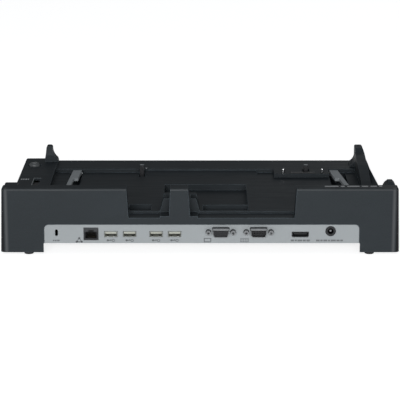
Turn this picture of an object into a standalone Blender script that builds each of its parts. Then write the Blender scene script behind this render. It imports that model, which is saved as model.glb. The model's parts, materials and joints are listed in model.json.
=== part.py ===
"""Laptop docking station: a port replicator tray with a tall rear wall, modelled as separate pieces.

Frame: origin under the middle of the tray, on the surface that the feet stand on. +X is to the right seen
from the ports, +Y runs from the ports to the user's edge, +Z is up. The helpers take millimetres.
"""

import math

import bmesh
import bpy
from mathutils import Vector

MM = 0.001
GAP = 0.3                     # kept between neighbouring solids

# Case
REAR = -107.75                # the port face; the D-sub shells stand out behind it
FRONT = 112.25                # the user's edge
HALF_BOTTOM = 202.2           # half the width at the bottom rim
BOTTOM = 2.6                  # the case's lower rim, above the surface
TOP = 69.0                    # the rear wall's top
HALF_TOP = 200.2              # half the width at the rear wall's top
DECK = 47.8                   # left deck
SIDE_DECK = 45.0              # right deck and front strip
TRAY = 41.0                   # floor under the laptop
WALL = 2.4                    # shell thickness
REAR_WALL = 17.6              # thickness of the rear wall block
STRIP_Y = REAR + 179.4        # rear edge of the front strip
TRAY_LEFT = -159.4            # left deck's inner edge
TRAY_RIGHT = 171.4            # right deck's inner edge
GAP_LEFT = -158.5             # the rear skirts' inner ends, beside the port panel
GAP_RIGHT = 162.0
GAP_TOP = 11.9                # the raised underside
PONTOON = 180.0               # the side pontoons' inner faces
PLATE = 2.0                   # base cover thickness
INNER = REAR + REAR_WALL      # the rear wall's inner face
FAR = FRONT + 5.0             # tools reach this far past the front
CEILING = TRAY - WALL         # the inside's top, under the tray
LEAN_LOW = (-201.5, 28.0)     # the left side leans in between these points (X, Z)
LEAN_TOP = (-195.2, DECK)
CHANNEL_X = 188.4             # inner face of the lever channel
CHANNEL_Z = 25.0
POCKET_Z = 14.0               # the channel's floor near the user's edge
POCKET_Y = REAR + 172.0       # where that deeper floor starts
SCREW_AT = ((-190.0, REAR + 60.0), (-190.0, REAR + 165.0), (191.0, REAR + 60.0), (191.0, REAR + 158.0))
FOOT_AT = ((-173.9, REAR + 6.2), (172.2, REAR + 6.2), (-189.5, FRONT - 16.0), (189.5, FRONT - 16.0))

# Rear wall notches: bottom level and the (top, bottom) X of each slanted side
NOTCH_Z = 38.7
LEFT_NOTCH = ((-74.1, -72.2), (-29.9, -31.2))
RIGHT_NOTCH = ((-12.0, -10.0), (97.5, 95.6))

# Port panel and what stands in it
PANEL_LEFT = -157.5
PANEL_RIGHT = 161.0
PANEL_TOP = 31.4
PANEL_RADIUS = 4.5
PANEL_INSET = 0.7             # behind the case's rear face
PANEL_THICK = 1.6
PANEL_FACE = REAR + PANEL_INSET
LAN_Z = 21.8
VIDEO_Z = 21.2
PORT_Z = 21.5
BOARD_Z = 14.2
BOARD_THICK = 1.0
LOCK_X = -145.2
LAN_X = -110.3
USB_X = (-90.2, -71.2, -44.4, -25.7)
USB_SIZE = (13.1, 5.7)
VGA_X = 21.0
SERIAL_X = 59.3
DSUB_Z = 23.9
DSUB_SCREW = 12.495           # half the standard distance between jackscrews
VIDEO_X = 101.5
DC_X = 132.1
DC_Z = 24.7

# Moving parts
BUTTON_AT = (-183.7, REAR + 184.5)
BUTTON_RADIUS = 5.9
BUTTON_RISE = 3.0             # above the left deck
SLIDER_X = -175.0
SLIDER_SLOT = (REAR + 94.0, REAR + 126.5)
SLIDER_HALF = 3.4             # half the slot's width
SLIDER_LOW = DECK - 4.9       # underside of the slider's plate
BOARD_TOP = 34.0              # upper face of the button board
PIVOT = (REAR + 110.0, 33.0)  # Y and Z of the release lever's shaft
CRANK = 11.5                  # shaft axis to crank pin
HOOK_X = (-63.9, 116.7)
HOOK_Y = REAR + 170.0
ARM_PIVOT = (REAR + 175.6, 41.0)
ARM_LEFT = -135.5             # centre lines of the lift arms at their pivots
ARM_RIGHT = 147.5
ARM_WIDTH = 9.4
DOCK_X = (81.0, 141.4)
DOCK_Y = (REAR + 154.5, REAR + 178.8)
DOCK_Z = 45.6
PIN_X = (91.5, 134.0)


# ---- helpers -------------------------------------------------------------------------------------------

def material(name, colour, roughness, metallic=0.0):
    """A Principled material, made once."""
    made = bpy.data.materials.get(name)
    if made is None:
        made = bpy.data.materials.new(name)
        made.use_nodes = True
        shader = made.node_tree.nodes["Principled BSDF"]
        shader.inputs["Base Color"].default_value = (*colour, 1.0)
        shader.inputs["Roughness"].default_value = roughness
        shader.inputs["Metallic"].default_value = metallic
    return made


def from_bmesh(name, bm):
    """An object holding the bmesh, whose faces are turned outwards."""
    bmesh.ops.recalc_face_normals(bm, faces=bm.faces)
    mesh = bpy.data.meshes.new(name)
    bm.to_mesh(mesh)
    bm.free()
    made = bpy.data.objects.new(name, mesh)
    bpy.context.scene.collection.objects.link(made)
    return made


def loft(name, low, high):
    """A closed solid between two outlines with the same number of points (x, y, z in mm)."""
    bm = bmesh.new()
    rings = [[bm.verts.new(Vector(p) * MM) for p in ring] for ring in (low, high)]
    count = len(low)
    for i in range(count):
        j = (i + 1) % count
        bm.faces.new((rings[0][i], rings[0][j], rings[1][j], rings[1][i]))
    bm.faces.new(rings[0])
    bm.faces.new(rings[1])
    return from_bmesh(name, bm)


def along(axis, a, b, level):
    """The point whose coordinate on the axis is level, and whose other two are a and b."""
    return {"X": (level, a, b), "Y": (a, level, b), "Z": (a, b, level)}[axis]


def prism(name, outline, axis, start, end):
    """An outline extruded along an axis: (y, z) along X, (x, z) along Y, (x, y) along Z."""
    low, high = ([along(axis, a, b, level) for a, b in outline] for level in (start, end))
    return loft(name, low, high)


def box(name, x, y, z):
    """A block from (low, high) pairs."""
    return prism(name, [(x[0], y[0]), (x[1], y[0]), (x[1], y[1]), (x[0], y[1])], "Z", z[0], z[1])


def arc(cx, cy, radius, start, end, steps):
    """Points on a circle, in degrees."""
    turns = [math.radians(start + (end - start) * i / steps) for i in range(steps + 1)]
    return [(cx + radius * math.cos(t), cy + radius * math.sin(t)) for t in turns]


def rounded(x, y, radius, steps=4):
    """A rectangle's outline with round corners."""
    corners = ((x[1], y[1], 0), (x[0], y[1], 90), (x[0], y[0], 180), (x[1], y[0], 270))
    points = []
    for cx, cy, turn in corners:
        inward_x = cx - radius if cx == x[1] else cx + radius
        inward_y = cy - radius if cy == y[1] else cy + radius
        points += arc(inward_x, inward_y, radius, turn, turn + 90, steps)
    return points


def disc(centre, radius, sides=24):
    """A circle's outline."""
    return arc(centre[0], centre[1], radius, 0, 360 * (sides - 1) / sides, sides - 1)


def cylinder(name, centre, radius, axis, start, end, sides=24):
    """A round bar along an axis."""
    return prism(name, disc(centre, radius, sides), axis, start, end)


def combine(target, other, operation):
    """Applies a Boolean with an exact solver, and removes the tool object."""
    step = target.modifiers.new("step", "BOOLEAN")
    step.operation = operation
    step.object = other
    graph = bpy.context.evaluated_depsgraph_get()
    mesh = bpy.data.meshes.new_from_object(target.evaluated_get(graph))
    target.modifiers.clear()
    target.data = mesh
    mesh.name = target.name
    bpy.data.objects.remove(other)
    return target


def cut(target, *tools):
    """Takes each tool's volume away from the target."""
    for tool in tools:
        combine(target, tool, "DIFFERENCE")
    return target


def join(target, *others):
    """Adds each overlapping solid to the target."""
    for other in others:
        combine(target, other, "UNION")
    return target


def bevel_edges(target, chosen, width, steps):
    """Rounds the edges whose two end points (in mm) the test accepts."""
    bm = bmesh.new()
    bm.from_mesh(target.data)
    edges = [e for e in bm.edges if chosen(*(v.co / MM for v in e.verts))]
    bmesh.ops.bevel(bm, geom=edges, offset=width * MM, segments=steps, profile=0.5, affect="EDGES")
    bm.to_mesh(target.data)
    bm.free()
    return target


def finish(target, look, origin):
    """Gives the piece its material and its origin (mm), and smooths its round faces."""
    target.data.materials.clear()
    target.data.materials.append(look)
    place = Vector(origin) * MM
    for vertex in target.data.vertices:
        vertex.co -= place
    target.location = place
    target.data.shade_smooth()
    target.data.set_sharp_from_angle(angle=math.radians(30))
    return target


def half_width(z):
    """Half of the case's drafted width at a height."""
    return HALF_BOTTOM + (HALF_TOP - HALF_BOTTOM) * (z - BOTTOM) / (TOP - BOTTOM)


def spring(name, centre, radius, wire, axis, low, high, turns):
    """A coil spring along an axis: a round wire swept along a helix."""
    steps, sides = 9 * turns, 5
    bm = bmesh.new()
    rings = []
    for i in range(steps + 1):
        turn = 2 * math.pi * turns * i / steps
        level = low + wire + (high - low - 2 * wire) * i / steps
        ring = []
        for k in range(sides):
            around = 2 * math.pi * k / sides
            reach = radius + wire * math.cos(around)
            a, b = centre[0] + reach * math.cos(turn), centre[1] + reach * math.sin(turn)
            ring.append(bm.verts.new(Vector(along(axis, a, b, level + wire * math.sin(around))) * MM))
        rings.append(ring)
    for a, b in zip(rings, rings[1:]):
        for k in range(sides):
            n = (k + 1) % sides
            bm.faces.new((a[k], a[n], b[n], b[k]))
    bm.faces.new(rings[0])
    bm.faces.new(rings[-1])
    return from_bmesh(name, bm)


def notch_tool(sides):
    """The space of one rear wall notch, with slanted sides."""
    (left_top, left_low), (right_top, right_low) = sides
    over = 1.0 + (TOP - NOTCH_Z)
    slope_left = (left_top - left_low) / (TOP - NOTCH_Z)
    slope_right = (right_top - right_low) / (TOP - NOTCH_Z)
    outline = [
        (left_low, NOTCH_Z), (right_low, NOTCH_Z),
        (right_low + slope_right * over, NOTCH_Z + over), (left_low + slope_left * over, NOTCH_Z + over),
    ]
    return prism("tool", outline, "Y", REAR - 1, REAR + REAR_WALL + 0.1)


def well(case, x, y, floor):
    """A walled well sunk into the tray floor."""
    around_x, around_y = (x[0] - WALL, x[1] + WALL), (y[0] - WALL, y[1] + WALL)
    join(case, box("tool", around_x, around_y, (floor - WALL, TRAY - 0.6)))
    return cut(case, box("tool", x, y, (floor, TRAY + 1)))


# ---- materials -----------------------------------------------------------------------------------------

CASE = material("case", (0.030, 0.034, 0.038), 0.55)
BASE = material("base", (0.022, 0.025, 0.028), 0.6)
PANEL = material("panel", (0.48, 0.51, 0.52), 0.45)
PAD = material("pad", (0.14, 0.155, 0.165), 0.5)
BLACK = material("black_plastic", (0.012, 0.013, 0.016), 0.4)
TONGUE = material("pale_plastic", (0.52, 0.53, 0.47), 0.5)
STEEL = material("steel", (0.60, 0.61, 0.62), 0.3, 1.0)
RUBBER = material("rubber", (0.015, 0.015, 0.016), 0.85)
BOARD = material("board", (0.02, 0.10, 0.05), 0.5)
BUTTON = material("button", (0.10, 0.11, 0.12), 0.4)
CABLE = material("cable", (0.45, 0.44, 0.40), 0.5)


# ---- case ----------------------------------------------------------------------------------------------

def case_body():
    """The drafted outer block with its rear wall, round corners and round upper edges."""
    outline = [(REAR, BOTTOM), (FRONT, BOTTOM), (FRONT, DECK), (INNER, DECK), (INNER, TOP), (REAR, TOP)]
    body = loft(
        "upper_case",
        [(-half_width(z), y, z) for y, z in outline],
        [(half_width(z), y, z) for y, z in outline],
    )

    def upright(y):
        def test(a, b):
            return max(abs(a.y - y), abs(b.y - y)) < 0.1 and abs(a.z - b.z) > 20 and a.x * b.x > 0
        return test

    bevel_edges(body, upright(REAR), 5.0, 4)
    bevel_edges(body, upright(FRONT), 9.0, 5)
    lean = [(-230.0, LEAN_LOW[1]), LEAN_LOW, (LEAN_TOP[0] - 0.3, DECK + 1.0), (-230.0, DECK + 1.0)]
    cut(body, prism("tool", lean, "Y", INNER, FAR))
    bevel_edges(body, lambda a, b: min(a.z, b.z) > TOP - 0.05, 2.0, 3)

    def deck_rim(a, b):
        outer = max(abs(a.x), abs(b.x)) > 186 or min(a.y, b.y) > FRONT - 0.5
        return outer and abs(a.z - DECK) < 0.05 and abs(b.z - DECK) < 0.05 and max(a.y, b.y) > INNER + 1

    return bevel_edges(body, deck_rim, 1.6, 3)


def open_case(case):
    """Cuts the outside's recesses: underside, tray, front strip, right deck, lever channel and notches."""
    cut(case, box("tool", (GAP_LEFT, GAP_RIGHT), (REAR - 5, REAR + WALL + 1), (0, GAP_TOP)))
    cut(case, box("tool", (-PONTOON, PONTOON), (REAR + WALL, FAR), (0, GAP_TOP)))
    cut(case, box("tool", (TRAY_LEFT, TRAY_RIGHT), (INNER, STRIP_Y), (TRAY, DECK + 1)))
    cut(case, box("tool", (TRAY_LEFT, 230), (STRIP_Y - 1, FAR), (SIDE_DECK, DECK + 1)))
    cut(case, box("tool", (TRAY_RIGHT - 1, 230), (INNER, STRIP_Y), (SIDE_DECK, DECK + 1)))
    start, end = STRIP_Y - 14.0, STRIP_Y + 12.0
    ramp = [(start, TRAY - 1), (end, TRAY - 1), (end, SIDE_DECK), (start, TRAY)]
    join(case, prism("tool", ramp, "X", -60.0, 63.0))
    cut(case, notch_tool(LEFT_NOTCH), notch_tool(RIGHT_NOTCH))
    for x in ((-40.4, -28.0), (-14.0, -2.4)):
        join(case, box("tool", x, (REAR, INNER + 1), (NOTCH_Z - 1, NOTCH_Z + 1.8)))
    corner = box("tool", (-198.8, -184.6), (INNER - 4, REAR + 28.5), (LEAN_LOW[1] - 2, TOP))
    bevel_edges(corner, lambda a, b: min(a.z, b.z) > TOP - 0.05 or abs(a.z - b.z) > 9, 1.6, 3)
    return join(case, corner)


def hollow_case(case):
    """Cuts the inside, which is open underneath."""
    right = half_width(BOTTOM) - WALL - 1.6
    back, front = REAR + WALL, FRONT - WALL
    waist = LEAN_LOW[1] + 2.0
    cut(case, box("tool", (-right - 0.2, right + 0.2), (back, front), (0, waist)))
    cut(case, box("tool", (-195.2, right + 0.2), (back, front), (waist - 1, CEILING)))
    cut(case, box("tool", (-192.6, TRAY_LEFT - WALL), (INNER, front), (CEILING - 1, DECK - WALL)))
    cut(case, box("tool", (TRAY_LEFT, right), (STRIP_Y + WALL, front), (CEILING - 1, SIDE_DECK - WALL)))
    for low, high in ((1.0 - right, -77.0), (100.4, right - 1.0), (-27.0, -15.0)):
        cut(case, box("tool", (low, high), (back, INNER - WALL), (CEILING - 1, TOP - WALL - 0.4)))
    return case


def lever_channel(case):
    """The side recess that the release lever lies in, with the wall between it and the inside."""
    low, inside = CHANNEL_Z - 3.0, CHANNEL_X - WALL
    front = FRONT - WALL + 0.1
    join(case, box("tool", (inside, CHANNEL_X + 3), (REAR + WALL - 0.1, front), (low, SIDE_DECK - 1.5)))
    join(case, box("tool", (inside, half_width(low) - 0.6), (REAR + 15.0, front), (low, CHANNEL_Z)))
    cut(case, box("tool", (CHANNEL_X, 230.0), (INNER, FAR), (CHANNEL_Z, DECK + 2)))
    skin, under, wall = half_width(POCKET_Z) - 0.6, POCKET_Z - WALL, POCKET_Y - WALL
    join(case, box("tool", (inside, CHANNEL_X), (wall, front), (under, CHANNEL_Z)))
    join(case, box("tool", (inside, skin), (wall, front), (under, POCKET_Z)))
    join(case, box("tool", (inside, skin), (wall, POCKET_Y), (under, CHANNEL_Z - 0.1)))
    cut(case, box("tool", (CHANNEL_X, 230.0), (POCKET_Y, FAR), (POCKET_Z, DECK)))
    return cut(case, cylinder("tool", PIVOT, 2.6, "X", 180.0, 196.0))


def buttress(case):
    """The block that stiffens the centre post, with a pocket on each side of the post."""
    low_y, high_y = INNER - 1, REAR + 41.0
    low, high = [(-41.0, TRAY - 1), (0.0, TRAY - 1)], [(-4.0, 54.6), (-37.0, 54.6)]
    join(case, prism("tool", low + high, "Y", low_y, high_y))
    for x in ((-38.0, -31.6), (-9.6, -3.0)):
        cut(case, box("tool", x, (INNER, REAR + 35.0), (TRAY - 0.5, 60.0)))
    return cut(case, box("tool", (-29.0, -12.0), (REAR + 20.0, REAR + 38.0), (TRAY - 5, 51.0)))


def tray_wells(case):
    """The wells in the tray floor, the lift arms' wells and the hooks' slots."""
    well(case, (-38.0, 49.5), (REAR + 43.6, REAR + 126.6), 34.5)
    well(case, (3.0, 49.5), (REAR + 21.0, REAR + 43.7), 34.5)
    well(case, (-73.0, -50.0), (REAR + 21.0, REAR + 43.6), 31.0)
    for centre in (ARM_LEFT, ARM_RIGHT):
        side = math.copysign(1.0, centre)
        toe = 7.2 if centre > 0 else 2.0
        reach = sorted((centre - side * (ARM_WIDTH / 2 + 1.0), centre + side * (ARM_WIDTH / 2 + 1.0 + toe)))
        well(case, reach, (REAR + 60.0, REAR + 178.9), 33.0)
    for x in HOOK_X:
        cut(case, box("tool", (x - 3.6, x + 3.6), (HOOK_Y - 9.0, HOOK_Y + 4.5), (CEILING - 1, TRAY + 1)))
    return case


def case_openings(case):
    """The panel's window, the button's hole and rim, the slider's slot, and the screw posts."""
    window = rounded((PANEL_LEFT - GAP, PANEL_RIGHT + GAP), (GAP_TOP - 20, PANEL_TOP + GAP), PANEL_RADIUS)
    cut(case, prism("tool", window, "Y", REAR - 1, REAR + WALL + 1))
    bx, by = BUTTON_AT
    cut(case, cylinder("tool", (bx, by), BUTTON_RADIUS + 0.5, "Z", DECK - WALL - 1, DECK + 1))
    cut(case, cylinder("tool", (bx, by), BUTTON_RADIUS + 1.8, "Z", DECK - 0.8, DECK + 1))
    slot = rounded((SLIDER_X - SLIDER_HALF, SLIDER_X + SLIDER_HALF), SLIDER_SLOT, 0.8, 2)
    cut(case, prism("tool", slot, "Z", DECK - WALL - 1, DECK + 1))
    for y in (by - 9.9, by + 9.9):
        join(case, cylinder("tool", (bx, y), 2.2, "Z", BOARD_TOP + GAP, DECK - WALL + 1, 12))
    reach = (SLIDER_SLOT[0] - 2.0, SLIDER_SLOT[1] + 2.0)
    for side in (-1, 1):
        rail = sorted((SLIDER_X + side * 6.7, SLIDER_X + side * 8.5))
        join(case, box("tool", rail, reach, (SLIDER_LOW - 2.2, DECK - WALL + 1)))
        lip = sorted((SLIDER_X + side * 4.5, SLIDER_X + side * 7.0))
        join(case, box("tool", lip, reach, (SLIDER_LOW - 2.2, SLIDER_LOW - 0.6)))
    for x, y in SCREW_AT:
        ceiling = DECK - WALL if x < 0 else CHANNEL_Z - 3.0
        join(case, cylinder("tool", (x, y), 4.0, "Z", BOTTOM + PLATE + GAP, ceiling + 1, 16))
        cut(case, cylinder("tool", (x, y), 1.6, "Z", 0.0, 14.0, 12))
    return case


def build_case():
    case = case_body()
    open_case(case)
    hollow_case(case)
    lever_channel(case)
    buttress(case)
    tray_wells(case)
    case_openings(case)
    finish(case, CASE, (0, REAR, BOTTOM))
    build_base()


def build_base():
    """The stepped base cover: two pontoon floors joined by the raised middle."""
    side = HALF_BOTTOM - WALL - 1.8
    low, top, wall = BOTTOM, GAP_TOP, PONTOON + PLATE
    outline = [
        (-side, low), (-PONTOON, low), (-PONTOON, top), (PONTOON, top), (PONTOON, low), (side, low),
        (side, low + PLATE), (wall, low + PLATE), (wall, top + PLATE),
        (-wall, top + PLATE), (-wall, low + PLATE), (-side, low + PLATE),
    ]
    base = prism("base_cover", outline, "Y", REAR + WALL + GAP, FRONT - WALL - GAP)
    for x, _ in FOOT_AT[:2]:
        reach = sorted((math.copysign(164.8, x), math.copysign(PONTOON + 1, x)))
        join(base, box("tool", reach, (REAR + WALL + GAP, REAR + 24.0), (low, top + 1)))
    for x, y in SCREW_AT:
        cut(base, cylinder("tool", (x, y), 1.9, "Z", 0.0, 8.0, 12))
        cut(base, cylinder("tool", (x, y), 3.6, "Z", 0.0, BOTTOM + 0.9, 16))
    finish(base, BASE, (0, 0, BOTTOM))
    for i, (x, y) in enumerate(SCREW_AT):
        screw = cylinder(f"case_screw_{i + 1}", (x, y), 1.4, "Z", BOTTOM + 0.3, 13.0, 10)
        join(screw, cylinder("tool", (x, y), 3.2, "Z", BOTTOM - 0.2, BOTTOM + 0.6, 16))
        cut(screw, box("tool", (x - 0.4, x + 0.4), (y - 2.2, y + 2.2), (0, BOTTOM + 0.1)))
        finish(screw, STEEL, (x, y, BOTTOM))
    for i, (x, y) in enumerate(FOOT_AT):
        foot = cylinder(f"rubber_foot_{i + 1}", (x, y), 4.8, "Z", 0.0, BOTTOM - GAP, 24)
        bevel_edges(foot, lambda a, b: max(a.z, b.z) < 0.01, 0.5, 2)
        finish(foot, RUBBER, (x, y, 0))


# ---- guide posts at the front corners ------------------------------------------------------------------

def guide_post(name, outline, y, top_cut):
    """An upright post whose outline seen from the ports is extruded and tapered by one slanted cut."""
    post = prism(name, outline, "Y", y[0], y[1])
    cut(post, prism("tool", top_cut, "X", -230, 230))
    return post


def build_posts():
    """A slim post on the left deck and a broad one, with a trailing fin, on the right deck."""
    foot = DECK + GAP
    left = [(-173.8, foot), (-158.4, foot)] + arc(-150.5, 63.0, 14.4, 232, 180, 5)
    left += arc(-167.3, 63.4, 2.5, 8, 90, 4) + arc(-169.3, 63.4, 2.5, 90, 172, 4)
    left += [(-172.4, 57.0), (-173.3, 52.0)]
    slant = [(REAR + 190, 69.5), (REAR + 190, 56.0), (REAR + 199.0, 56.0), (REAR + 203.5, 69.5)]
    post = guide_post("guide_post_left", left, (REAR + 198.5, REAR + 210.5), slant)
    finish(post, CASE, (-167.3, REAR + 204, DECK))

    foot, ridge = SIDE_DECK + GAP, REAR + 189.0
    right = [(166.4, foot), (186.8, foot), (185.4, 50.0), (183.6, 57.5), (182.4, 62.0), (181.4, 64.8)]
    right += [(180.2, 65.8), (173.8, 65.8), (172.9, 64.6)] + arc(162.6, 56.2, 10.3, 0, -62, 6)
    slant = [(REAR + 180, 69.5), (REAR + 180, 62.2), (ridge, 62.2), (ridge + 7.5, 69.5)]
    post = guide_post("guide_post_right", right, (REAR + 187.0, REAR + 210.0), slant)
    near, far = REAR + 50.0, REAR + 190.0
    rail = loft(
        "tool",
        [(176.5, near, foot), (187.2, near, foot), (187.2, near, foot + 9.4)],
        [(184.5, far, foot), (187.2, far, foot), (187.2, far, foot + 1.4)],
    )
    fin = [(REAR + 96.0, foot), (ridge, foot), (ridge, 62.1), (REAR + 147.0, 57.6), (REAR + 96.0, foot + 0.4)]
    join(post, rail, prism("tool", fin, "X", 172.0, 182.3))
    finish(post, CASE, (178, REAR + 200, SIDE_DECK))


# ---- ports ---------------------------------------------------------------------------------------------

def dsub_outline(cx, cz, half_w, half_h, radius=1.6):
    """The D shape of a connector shell: a rounded trapezoid, wider on top."""
    slant = math.tan(math.radians(10)) * half_h
    wide, narrow = half_w, half_w - 2 * slant
    corners = ((wide, half_h), (-wide, half_h), (-narrow, -half_h), (narrow, -half_h))
    points = []
    for i, (x, z) in enumerate(corners):
        before, after = Vector(corners[i - 1]), Vector(corners[(i + 1) % 4])
        here = Vector((x, z))
        a = here + (before - here).normalized() * radius
        b = here + (after - here).normalized() * radius
        for t in (0.0, 0.33, 0.67, 1.0):
            p = a * (1 - t) ** 2 + here * (2 * t * (1 - t)) + b * t ** 2
            points.append((cx + p.x, cz + p.y))
    return points


def video_outline(cx, cz, half_w, half_h, corner):
    """A flat socket's outline with its two lower corners cut off."""
    return [
        (cx + half_w, cz + half_h), (cx - half_w, cz + half_h), (cx - half_w, cz - half_h + corner),
        (cx - half_w + corner, cz - half_h), (cx + half_w - corner, cz - half_h),
        (cx + half_w, cz - half_h + corner),
    ]


def span(centre, width):
    """The (low, high) pair of a width about a centre."""
    return (centre - width / 2, centre + width / 2)


def build_panel():
    """The pale panel that frames the ports."""
    outline = rounded((PANEL_LEFT, PANEL_RIGHT), (GAP_TOP - 8, PANEL_TOP), PANEL_RADIUS)
    panel = prism("port_panel", outline, "Y", PANEL_FACE, PANEL_FACE + PANEL_THICK)
    y = (PANEL_FACE - 1, PANEL_FACE + PANEL_THICK + 1)
    cut(panel, box("tool", (-170, 170), y, (0, GAP_TOP + 0.1)))
    cut(panel, box("tool", span(LAN_X, 14.5 + 2 * GAP), y, span(LAN_Z, 12.7 + 2 * GAP)))
    for x in USB_X:
        cut(panel, box("tool", span(x, USB_SIZE[0] + 2 * GAP), y, span(PORT_Z, USB_SIZE[1] + 2 * GAP)))
    for x in (VGA_X, SERIAL_X):
        cut(panel, prism("tool", dsub_outline(x, DSUB_Z, 9.2, 5.2), "Y", *y))
        for side in (-1, 1):
            cut(panel, cylinder("tool", (x + side * DSUB_SCREW, DSUB_Z), 3.0, "Y", *y, 16))
    cut(panel, prism("tool", video_outline(VIDEO_X, VIDEO_Z, 8.7, 2.95, 1.0), "Y", *y))
    cut(panel, cylinder("tool", (DC_X, DC_Z), 5.1 + GAP, "Y", *y, 28))
    cut(panel, prism("tool", rounded(span(LOCK_X, 3.0), span(23.0, 7.0), 1.4, 3), "Y", *y))
    finish(panel, PANEL, (0, PANEL_FACE, PANEL_TOP))

    plate = box("lock_slot_plate", span(LOCK_X, 14), (PANEL_FACE + 2.0, PANEL_FACE + 3.8), (17.0, 30.0))
    hole = rounded(span(LOCK_X, 3.0), span(23.0, 7.0), 1.4, 3)
    cut(plate, prism("tool", hole, "Y", PANEL_FACE, PANEL_FACE + 8))
    finish(plate, STEEL, (LOCK_X, PANEL_FACE, 23))


def socket(name, outer, inner, depth, back, look, origin):
    """A port's shell: an outline extruded inwards from the panel's face, with a blind hollow."""
    shell = prism(name, outer, "Y", PANEL_FACE - 0.2, PANEL_FACE + depth)
    cut(shell, prism("tool", inner, "Y", PANEL_FACE - 1, PANEL_FACE + depth - back))
    return finish(shell, look, origin)


def rect(x, z):
    """A rectangle's outline from (low, high) pairs."""
    return [(x[0], z[0]), (x[1], z[0]), (x[1], z[1]), (x[0], z[1])]


def build_ports():
    """Network, four USB, VGA, serial, video and power sockets, with their board."""
    lan = rect(span(LAN_X, 14.5), (15.5, 28.15))
    mouth = [(-116.0, 17.2), (-104.6, 17.2), (-104.6, 24.2), (-108.2, 24.2), (-108.2, 25.6)]
    mouth += [(-112.4, 25.6), (-112.4, 24.2), (-116.0, 24.2)]
    socket("lan_jack", lan, mouth, 16.0, 3.0, BLACK, (LAN_X, PANEL_FACE, LAN_Z))

    for i, x in enumerate(USB_X):
        outer = rounded(span(x, USB_SIZE[0]), span(PORT_Z, USB_SIZE[1]), 0.7, 2)
        inner = rounded(span(x, USB_SIZE[0] - 0.7), span(PORT_Z, USB_SIZE[1] - 0.7), 0.4, 2)
        socket(f"usb_port_{i + 1}", outer, inner, 14.0, 0.6, STEEL, (x, PANEL_FACE, PORT_Z))
        tongue = box(
            f"usb_tongue_{i + 1}", span(x, 11.4), (PANEL_FACE + 0.8, PANEL_FACE + 13.0),
            (PORT_Z + 0.25, PORT_Z + 2.1),
        )
        finish(tongue, TONGUE, (x, PANEL_FACE, PORT_Z))

    for name, x in (("vga", VGA_X), ("serial", SERIAL_X)):
        build_dsub(name, x)

    outer = video_outline(VIDEO_X, VIDEO_Z, 8.4, 2.65, 0.9)
    inner = video_outline(VIDEO_X, VIDEO_Z, 7.9, 2.15, 0.7)
    socket("video_socket", outer, inner, 11.0, 0.6, BLACK, (VIDEO_X, PANEL_FACE, VIDEO_Z))
    tongue = box("video_tongue", span(VIDEO_X, 12.6), (PANEL_FACE + 1.2, PANEL_FACE + 10.0), (21.0, 22.3))
    finish(tongue, BLACK, (VIDEO_X, PANEL_FACE, VIDEO_Z))

    socket("dc_jack", disc((DC_X, DC_Z), 5.1, 28), disc((DC_X, DC_Z), 3.1, 20), 14.0, 2.0, BLACK,
           (DC_X, PANEL_FACE, DC_Z))
    pin = cylinder("dc_jack_pin", (DC_X, DC_Z), 1.0, "Y", PANEL_FACE + 1.5, PANEL_FACE + 11.6, 12)
    finish(pin, STEEL, (DC_X, PANEL_FACE, DC_Z))

    board = box("main_board", (-125.0, 150.0), (REAR + 3.4, REAR + 74.0), (BOARD_Z, BOARD_Z + BOARD_THICK))
    finish(board, BOARD, (0, REAR, BOARD_Z))


def build_dsub(name, x):
    """A D-sub connector: flanged metal shell, contact block and two jackscrews."""
    front = PANEL_FACE - 5.2
    shell = prism(f"{name}_shell", dsub_outline(x, DSUB_Z, 8.6, 4.6), "Y", front, PANEL_FACE + 3.0)
    flange = rounded(span(x, 30.8), span(DSUB_Z, 12.5), 2.0, 3)
    join(shell, prism("tool", flange, "Y", PANEL_FACE + PANEL_THICK + GAP, PANEL_FACE + 3.0))
    cut(shell, prism("tool", dsub_outline(x, DSUB_Z, 8.1, 4.1, 1.3), "Y", front - 1, PANEL_FACE + 5))
    for side in (-1, 1):
        tool = cylinder("tool", (x + side * DSUB_SCREW, DSUB_Z), 1.8, "Y", PANEL_FACE, PANEL_FACE + 5, 12)
        cut(shell, tool)
    finish(shell, STEEL, (x, PANEL_FACE, DSUB_Z))

    start = PANEL_FACE - 4.6 if name == "vga" else PANEL_FACE - 0.4
    block = prism(f"{name}_insert", dsub_outline(x, DSUB_Z, 7.75, 3.75, 1.2), "Y", start, PANEL_FACE + 8.0)
    if name == "vga":
        for row, count, shift in ((2.0, 5, 0.0), (0.0, 5, 1.1), (-2.0, 5, 0.0)):
            for k in range(count):
                at = (x + (k - 2) * 2.3 + shift - 0.55, DSUB_Z + row)
                cut(block, cylinder("tool", at, 0.5, "Y", start - 1, start + 2.0, 6))
    else:
        for row, count in ((1.4, 5), (-1.4, 4)):
            for k in range(count):
                at = (x + (k - (count - 1) / 2) * 2.74, DSUB_Z + row)
                join(block, cylinder("tool", at, 0.5, "Y", start - 4.0, start + 1.0, 6))
    finish(block, BLACK, (x, PANEL_FACE, DSUB_Z))

    for side, word in ((-1, "left"), (1, "right")):
        cx = x + side * DSUB_SCREW
        screw = cylinder(f"{name}_jackscrew_{word}", (cx, DSUB_Z), 2.7, "Y", front, PANEL_FACE + 1.5, 6)
        join(screw, cylinder("tool", (cx, DSUB_Z), 1.5, "Y", PANEL_FACE + 1.0, PANEL_FACE + 9.0, 10))
        cut(screw, cylinder("tool", (cx, DSUB_Z), 1.3, "Y", front - 1, front + 4.5, 12))
        finish(screw, STEEL, (cx, PANEL_FACE, DSUB_Z))


# ---- docking connector ---------------------------------------------------------------------------------

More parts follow.
